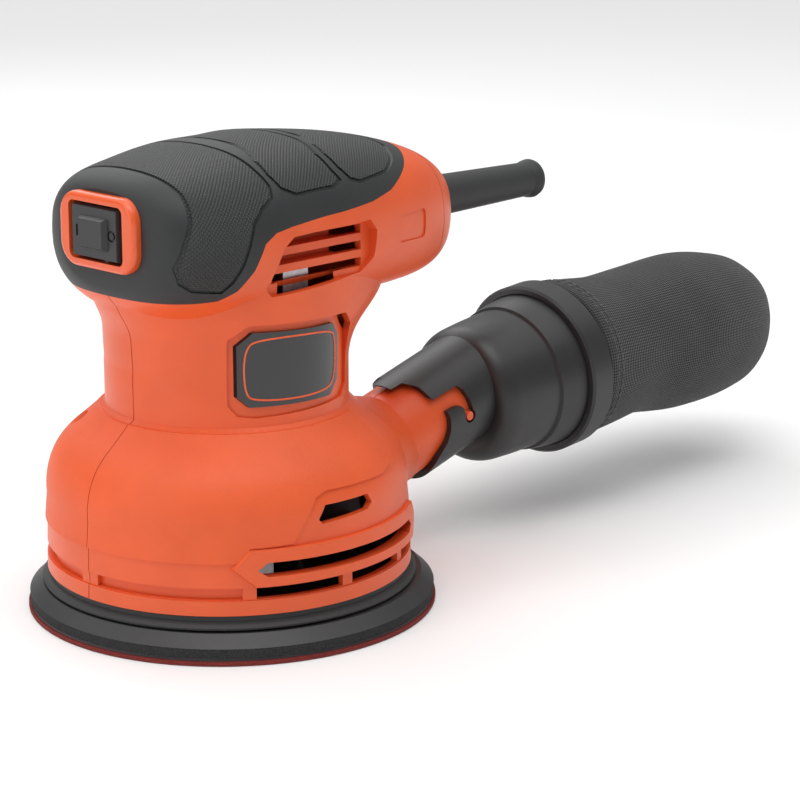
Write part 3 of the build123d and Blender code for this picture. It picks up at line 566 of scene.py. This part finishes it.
def grown(name, lines, tree, values):
    """Runs a geometry group on curves, each (points, closed), and keeps the result as a mesh."""
    curve = bpy.data.curves.new(name + "_path", "CURVE")
    curve.dimensions = "3D"
    for points, closed in lines:
        spline = curve.splines.new("POLY")
        spline.points.add(len(points) - 1)
        for point, place in zip(spline.points, points):
            point.co = (*place, 1)
        spline.use_cyclic_u = closed
    path = bpy.data.objects.new(name + "_path", curve)
    bpy.context.scene.collection.objects.link(path)
    group, sockets = tree
    modifier = path.modifiers.new("Grow", "NODES")
    modifier.node_group = group
    for label, value in values.items():
        modifier[sockets[label]] = value
    bpy.context.view_layer.update()
    graph = bpy.context.evaluated_depsgraph_get()
    mesh = bpy.data.meshes.new_from_object(path.evaluated_get(graph), depsgraph=graph)
    mesh.name = name
    bpy.data.objects.remove(path)
    return show(name, mesh)


# ---- outlines in the side view, in millimetres (x, z) -----------------------------------
PLAIN_BELL = [
    (-70, 5), (-70, 28.5), (-35.5, 28.5), (-32.6, 32.6), (-21.3, 33.2), (-13.6, 45.4),
    (-9.6, 46.9), (14.0, 46.6), (20.5, 48.2), (22.6, 51.8), (22.0, 55.5), (16.8, 64.0),
    (120, 64.0), (120, 5),
]
FRONT_PAD = [
    (-37.6, 150), (-37.2, 133), (-38.9, 126), (-41.0, 120), (-42.8, 113), (-41.4, 108.6),
    (-38.6, 106.4), (-31.0, 105.4), (-28.2, 108), (-25.5, 112.5), (-23.0, 118.8),
    (-21.0, 123.8), (-17.5, 127.3), (-12.8, 130), (-11.4, 133), (-11.8, 137), (-10.6, 150),
]
MIDDLE_PAD = [
    (-3.5, 150), (-4.0, 142), (-8.2, 139), (-9.2, 135.6), (-7.8, 132), (-3.0, 129.8),
    (12.0, 130.3), (15.4, 131.8), (14.2, 134.6), (14.0, 138.5), (16.5, 141.4), (17.0, 150),
]
REAR_PAD = [
    (22.0, 150), (21.4, 141.7), (18.8, 140.6), (17.4, 138.2), (17.7, 134.8), (20.0, 131.4),
    (24.0, 130.2), (38.0, 131.0), (46.0, 133.4), (51.0, 136.0), (52.0, 150),
]
BADGE = [(-22.6, 72.6), (-19.6, 69.4), (8.0, 69.0), (12.0, 73.0), (12.6, 86.6), (9.8, 90.4),
         (-18.6, 91.4), (-22.6, 87.6)]
# x, half width, half height and centre height of the bag, in millimetres
BAG_FORM = [
    (149.2, 27.2, 27.3, 47.3), (152.0, 27.7, 27.8, 47.3), (160.0, 27.2, 27.3, 47.3),
    (172.0, 26.5, 26.6, 47.2), (186.0, 26.2, 26.3, 47.2), (199.0, 26.7, 26.8, 47.2),
    (212.0, 27.3, 27.5, 47.3), (224.0, 26.9, 27.3, 47.3), (235.0, 25.7, 26.3, 47.2),
    (246.0, 22.9, 23.8, 46.9), (254.5, 17.4, 18.8, 46.7), (259.0, 11.0, 12.4, 46.6),
    (261.2, 5.0, 6.0, 46.6),
]
BAG_TIP, TIP_HEIGHT = 262.0, 46.6
BAG_AROUND, BAG_ALONG = 120, 110    # faces round the bag and along it
GIRTH = 0.176                       # cloth round the bag, in metres, for the weave
HEM_ROWS = (153.4, 155.8)           # places of the two rows of stitches in the hem
SEAM_START, SEAM_SIDE = 157, 0.062  # where the seam's stitches start, and their angle off it
WAIST = 186                         # where the cloth is drawn in underneath


# ---- the pieces --------------------------------------------------------------------------
class SANDER_OT_stage(bpy.types.Operator):
    """Makes the pale floor, the soft studio lights and the camera"""
    bl_idname = "sander.stage"
    bl_label = "Stage, lights and camera"

    def area_light(self, name, place, aim, size, power):
        light = bpy.data.lights.new(name, "AREA")
        light.shape = "RECTANGLE"
        light.size, light.size_y = size
        light.energy = power
        lamp = bpy.data.objects.new(name, light)
        lamp.location = place
        lamp.rotation_euler = (Vector(aim) - Vector(place)).to_track_quat("-Z", "Y").to_euler()
        bpy.context.scene.collection.objects.link(lamp)

    def execute(self, context):
        stage, colours = context.scene.sander_stage, context.scene.sander_colours
        work = bmesh.new()
        bmesh.ops.create_grid(work, x_segments=2, y_segments=2, size=6)
        floor = link_mesh("floor", work)
        floor.location.z = -0.2 * MM
        material, tree, shader = new_material("floor_paint", tuple(colours.floor), 0.9,
                                              specular=0.1)
        swell = noise_value(tree, coordinates(tree), 3, 1.0)
        tint(tree, shader, swell, shade(tuple(colours.floor), 0.995), tuple(colours.floor))
        floor.data.materials.append(material)
        middle = (0.06, 0.0, 0.07)
        self.area_light("sky_light", (0.0, 0.6, 3.2), (0.0, 0.6, 0.0), (7.0, 7.0),
                        stage.sky_power)
        self.area_light("key_light", (-0.15, -0.25, 1.15), middle, (0.9, 0.7),
                        stage.key_power)
        self.area_light("side_light", (-0.95, 0.10, 0.45), middle, (0.5, 0.9),
                        stage.side_power)
        self.area_light("rim_light", (0.35, 0.85, 0.75), middle, (0.8, 0.6), stage.rim_power)
        world = bpy.data.worlds.new("room")
        world.use_nodes = True
        sky = world.node_tree.nodes["Background"]
        sky.inputs["Color"].default_value = (1, 1, 1, 1)
        sky.inputs["Strength"].default_value = stage.room
        context.scene.world = world
        context.scene.view_settings.view_transform = "Standard"
        lens = bpy.data.cameras.new("camera")
        lens.lens, lens.sensor_width = stage.lens, 36
        lens.clip_start, lens.clip_end = 0.01, 30
        camera = bpy.data.objects.new("camera", lens)
        camera.location = stage.place
        camera.rotation_euler = (math.pi / 2 - stage.pitch, 0, -stage.heading)
        context.scene.collection.objects.link(camera)
        context.scene.camera = camera
        return {"FINISHED"}


class SANDER_OT_finishes(bpy.types.Operator):
    """Gives every CAD piece the finish of its slot"""
    bl_idname = "sander.finishes"
    bl_label = "Finishes"

    def execute(self, context):
        FINISHES.update(make_finishes(context.scene))
        for part in frame["record"]["subparts"]:
            node = frame["nodes"][part["node"]]
            finish = SPECIAL_FINISH.get(part["node"], part["material_slot"])
            if not node.data.materials:
                node.data.materials.append(None)
            for index in range(len(node.data.materials)):
                node.data.materials[index] = FINISHES[finish]
        return {"FINISHED"}


class SANDER_OT_housing(bpy.types.Operator):
    """Makes the two housing halves, with the grained panel of the bell marked"""
    bl_idname = "sander.housing"
    bl_label = "Housing halves"

    def execute(self, context):
        for side in ("left", "right"):
            node = side + "_housing"
            piece = finished_copy(node, side + "_shell")
            mark_faces(piece, "grain", lambda spot: float(
                GRAIN_LOW * MM < spot.z < GRAIN_HIGH * MM
                and math.hypot(spot.x, spot.y) > GRAIN_RADIUS * MM
                and not inside(PLAIN_BELL, spot.x / MM, spot.z / MM)))
            wear(piece, "orange_plastic")
            settle(piece, "housing")
            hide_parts(node)
        return {"FINISHED"}


class SANDER_OT_grip(bpy.types.Operator):
    """Makes the rubber grip, with its three knurled pads marked"""
    bl_idname = "sander.grip"
    bl_label = "Rubber grip"

    def execute(self, context):
        piece = finished_copy("grip_cover", "grip")
        mark_faces(piece, "pad", lambda spot: float(any(
            inside(pad, spot.x / MM, spot.z / MM) for pad in (FRONT_PAD, MIDDLE_PAD, REAR_PAD))))
        # The knurl's pattern is unrolled from the handle's round top.
        wrap = piece.data.attributes.new("wrap", "FLOAT_VECTOR", "POINT")
        flat = []
        for vertex in piece.data.vertices:
            spot = vertex.co
            angle = math.atan2(spot.y, spot.z - HANDLE_HEIGHT * MM)
            flat += [spot.x, angle * HANDLE_RADIUS * MM, 0.0]
        wrap.data.foreach_set("vector", flat)
        wear(piece, "grip_rubber")
        settle(piece, "housing")
        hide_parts("grip_cover")
        return {"FINISHED"}


class SANDER_OT_badges(bpy.types.Operator):
    """Makes the orange line set inside each badge's edge"""
    bl_idname = "sander.badges"
    bl_label = "Badge lines"

    @staticmethod
    def line(inset):
        """The badge's outline drawn in by an inset, with round corners, a point to each mm."""
        middle_x = sum(x for x, z in BADGE) / len(BADGE)
        middle_z = sum(z for x, z in BADGE) / len(BADGE)
        half_x = (max(x for x, z in BADGE) - min(x for x, z in BADGE)) / 2
        half_z = (max(z for x, z in BADGE) - min(z for x, z in BADGE)) / 2
        shrunk = [(middle_x + (x - middle_x) * (1 - inset / half_x),
                   middle_z + (z - middle_z) * (1 - inset / half_z)) for x, z in BADGE]
        for _ in range(3):
            cut = []
            for (x_one, z_one), (x_two, z_two) in zip(shrunk, shrunk[1:] + shrunk[:1]):
                cut.append((0.75 * x_one + 0.25 * x_two, 0.75 * z_one + 0.25 * z_two))
                cut.append((0.25 * x_one + 0.75 * x_two, 0.25 * z_one + 0.75 * z_two))
            shrunk = cut
        dense = []
        for (x_one, z_one), (x_two, z_two) in zip(shrunk, shrunk[1:] + shrunk[:1]):
            steps = max(1, round(math.hypot(x_two - x_one, z_two - z_one)))
            dense += [(x_one + (x_two - x_one) * step / steps,
                       z_one + (z_two - z_one) * step / steps) for step in range(steps)]
        return dense

    def execute(self, context):
        sizes = context.scene.sander_sizes
        line = self.line(sizes.outline_inset / MM)
        radius = BADGE_FACE / MM + 0.02
        tree = strip_tree()
        for side, sign in (("left", -1), ("right", 1)):
            points = [(x * MM, sign * math.sqrt(radius ** 2 - x ** 2) * MM, z * MM)
                      for x, z in line]
            piece = grown(side + "_badge_line", [(points, True)], tree, {
                "Radius": sizes.outline_width / 2, "Finish": FINISHES["glossy_orange"]})
            settle(piece, "housing")
        return {"FINISHED"}


class SANDER_OT_bag(bpy.types.Operator):
    """Makes the cloth dust bag, its hem, its seam and their stitches"""
    bl_idname = "sander.bag"
    bl_label = "Dust bag"

    @staticmethod
    def surface(x, angle, sizes, lift=0.0):
        """A point of the cloth, x along the bag and an angle round it, 0 at the top."""
        half, rise, middle = between(BAG_FORM, x)
        share = min(1, max(0, (x - 152) / 20)) * min(1, max(0, (BAG_TIP - x) / 14))
        spot = Vector((x * 0.022, math.sin(angle) * 0.9, math.cos(angle) * 0.9))
        dent = noise.noise(spot * 1.3 + Vector((3.1, 0, 7.7)))
        fold = noise.noise(Vector((x * 0.05 + 11.0, math.sin(angle) * 2.2, math.cos(angle) * 2.2)))
        out = (dent * 1.0 + fold * 0.45) * sizes.wrinkle * share
        # The cloth is drawn in between the ring and the hoop where the lower folds meet.
        draw = math.exp(-((x - WAIST) / 16) ** 2) * max(0, -math.cos(angle - 0.5)) ** 2
        out -= draw * 0.0014
        return Vector((
            x * MM, math.sin(angle) * (half * MM + out + lift),
            middle * MM + math.cos(angle) * (rise * MM + out + lift)))

    def shell(self, sizes):
        """The cloth as one open sheet, closed at the tip, with its weave laid out flat."""
        around, along = BAG_AROUND, BAG_ALONG
        first, last = BAG_FORM[0][0], BAG_FORM[-1][0]
        work = bmesh.new()
        cloth = work.loops.layers.uv.new("cloth")
        rings, travel = [], [0.0]
        for row in range(along + 1):
            share = 1 - (1 - row / along) ** 1.35
            x = first + (last - first) * share
            rings.append([work.verts.new(self.surface(x, 2 * math.pi * step / around, sizes))
                          for step in range(around)])
            if row:
                travel.append(travel[-1] + (rings[-1][0].co - rings[-2][0].co).length)
        for row in range(along):
            for step in range(around):
                after = (step + 1) % around
                face = work.faces.new((rings[row][step], rings[row][after],
                                       rings[row + 1][after], rings[row + 1][step]))
                corners = ((row, step), (row, step + 1), (row + 1, step + 1), (row + 1, step))
                for loop, (line, column) in zip(face.loops, corners):
                    loop[cloth].uv = (travel[line], GIRTH * column / around)
        tip = work.verts.new(Vector((BAG_TIP * MM, 0, TIP_HEIGHT * MM)))
        for step in range(around):
            after = (step + 1) % around
            face = work.faces.new((rings[-1][step], rings[-1][after], tip))
            for loop, (line, column) in zip(face.loops, ((along, step), (along, step + 1),
                                                         (along, step + 0.5))):
                extra = 0.0055 if loop.vert == tip else 0.0
                loop[cloth].uv = (travel[line] + extra, GIRTH * column / around)
        bmesh.ops.recalc_face_normals(work, faces=work.faces)
        # The bag is open at its ring, so the tip's faces say which way is out.
        if sum(face.normal.x for face in work.faces if face.calc_center_median().x > 0.255) < 0:
            bmesh.ops.reverse_faces(work, faces=work.faces)
        return link_mesh("bag_cloth", work)

    def execute(self, context):
        sizes = context.scene.sander_sizes
        bag = self.shell(sizes)
        wear(bag, "bag_cloth")
        wall = bag.modifiers.new("Wall", "SOLIDIFY")
        wall.thickness, wall.offset = sizes.cloth_thickness, -1
        settle(bag, "bag")
        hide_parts("dust_bag")
        rows = []
        for x in HEM_ROWS:
            rows.append(([self.surface(x, 2 * math.pi * step / BAG_AROUND, sizes, 0.1 * MM)
                          for step in range(BAG_AROUND)], True))
        for angle in (math.pi - SEAM_SIDE, math.pi + SEAM_SIDE):
            rows.append(([self.surface(SEAM_START + 1.42 * step, angle, sizes, 0.1 * MM)
                          for step in range(74)], False))
        stitches = grown("bag_stitches", rows, stitch_tree(), {
            "Pitch": sizes.stitch, "Length": sizes.stitch * 0.68, "Thickness": 0.00024,
            "Finish": FINISHES["hook"]})
        settle(stitches, "bag")
        welt = grown("bag_welt", [([self.surface(150 + 1.45 * step, math.pi, sizes, -0.0003)
                                    for step in range(77)], False)], strip_tree(), {
            "Radius": 0.0011, "Finish": FINISHES["hook"]})
        settle(welt, "bag")
        return {"FINISHED"}


class SANDER_PT_panel(bpy.types.Panel):
    """The sander's pieces, sizes and colours"""
    bl_idname = "SANDER_PT_panel"
    bl_label = "Palm sander"
    bl_space_type = "VIEW_3D"
    bl_region_type = "UI"
    bl_category = "Sander"

    def draw(self, context):
        for group in (context.scene.sander_stage, context.scene.sander_colours,
                      context.scene.sander_sizes):
            box = self.layout.box()
            for name in group.__annotations__:
                box.prop(group, name)
        for operator in OPERATORS:
            self.layout.operator(operator.bl_idname)


GROUPS = (SanderColours, SanderSizes, SanderStage)
OPERATORS = (SANDER_OT_stage, SANDER_OT_finishes, SANDER_OT_housing, SANDER_OT_grip,
             SANDER_OT_badges, SANDER_OT_bag)


def register():
    for item in (*GROUPS, *OPERATORS, SANDER_PT_panel):
        bpy.utils.register_class(item)
    bpy.types.Scene.sander_colours = bpy.props.PointerProperty(type=SanderColours)
    bpy.types.Scene.sander_sizes = bpy.props.PointerProperty(type=SanderSizes)
    bpy.types.Scene.sander_stage = bpy.props.PointerProperty(type=SanderStage)


def unregister():
    for name in ("sander_colours", "sander_sizes", "sander_stage"):
        delattr(bpy.types.Scene, name)
    for item in reversed((*GROUPS, *OPERATORS, SANDER_PT_panel)):
        bpy.utils.unregister_class(item)


def main():
    register()
    bpy.ops.sander.stage()
    bpy.ops.sander.finishes()
    bpy.ops.sander.housing()
    bpy.ops.sander.grip()
    bpy.ops.sander.badges()
    bpy.ops.sander.bag()


if __name__ == "__main__":
    main()
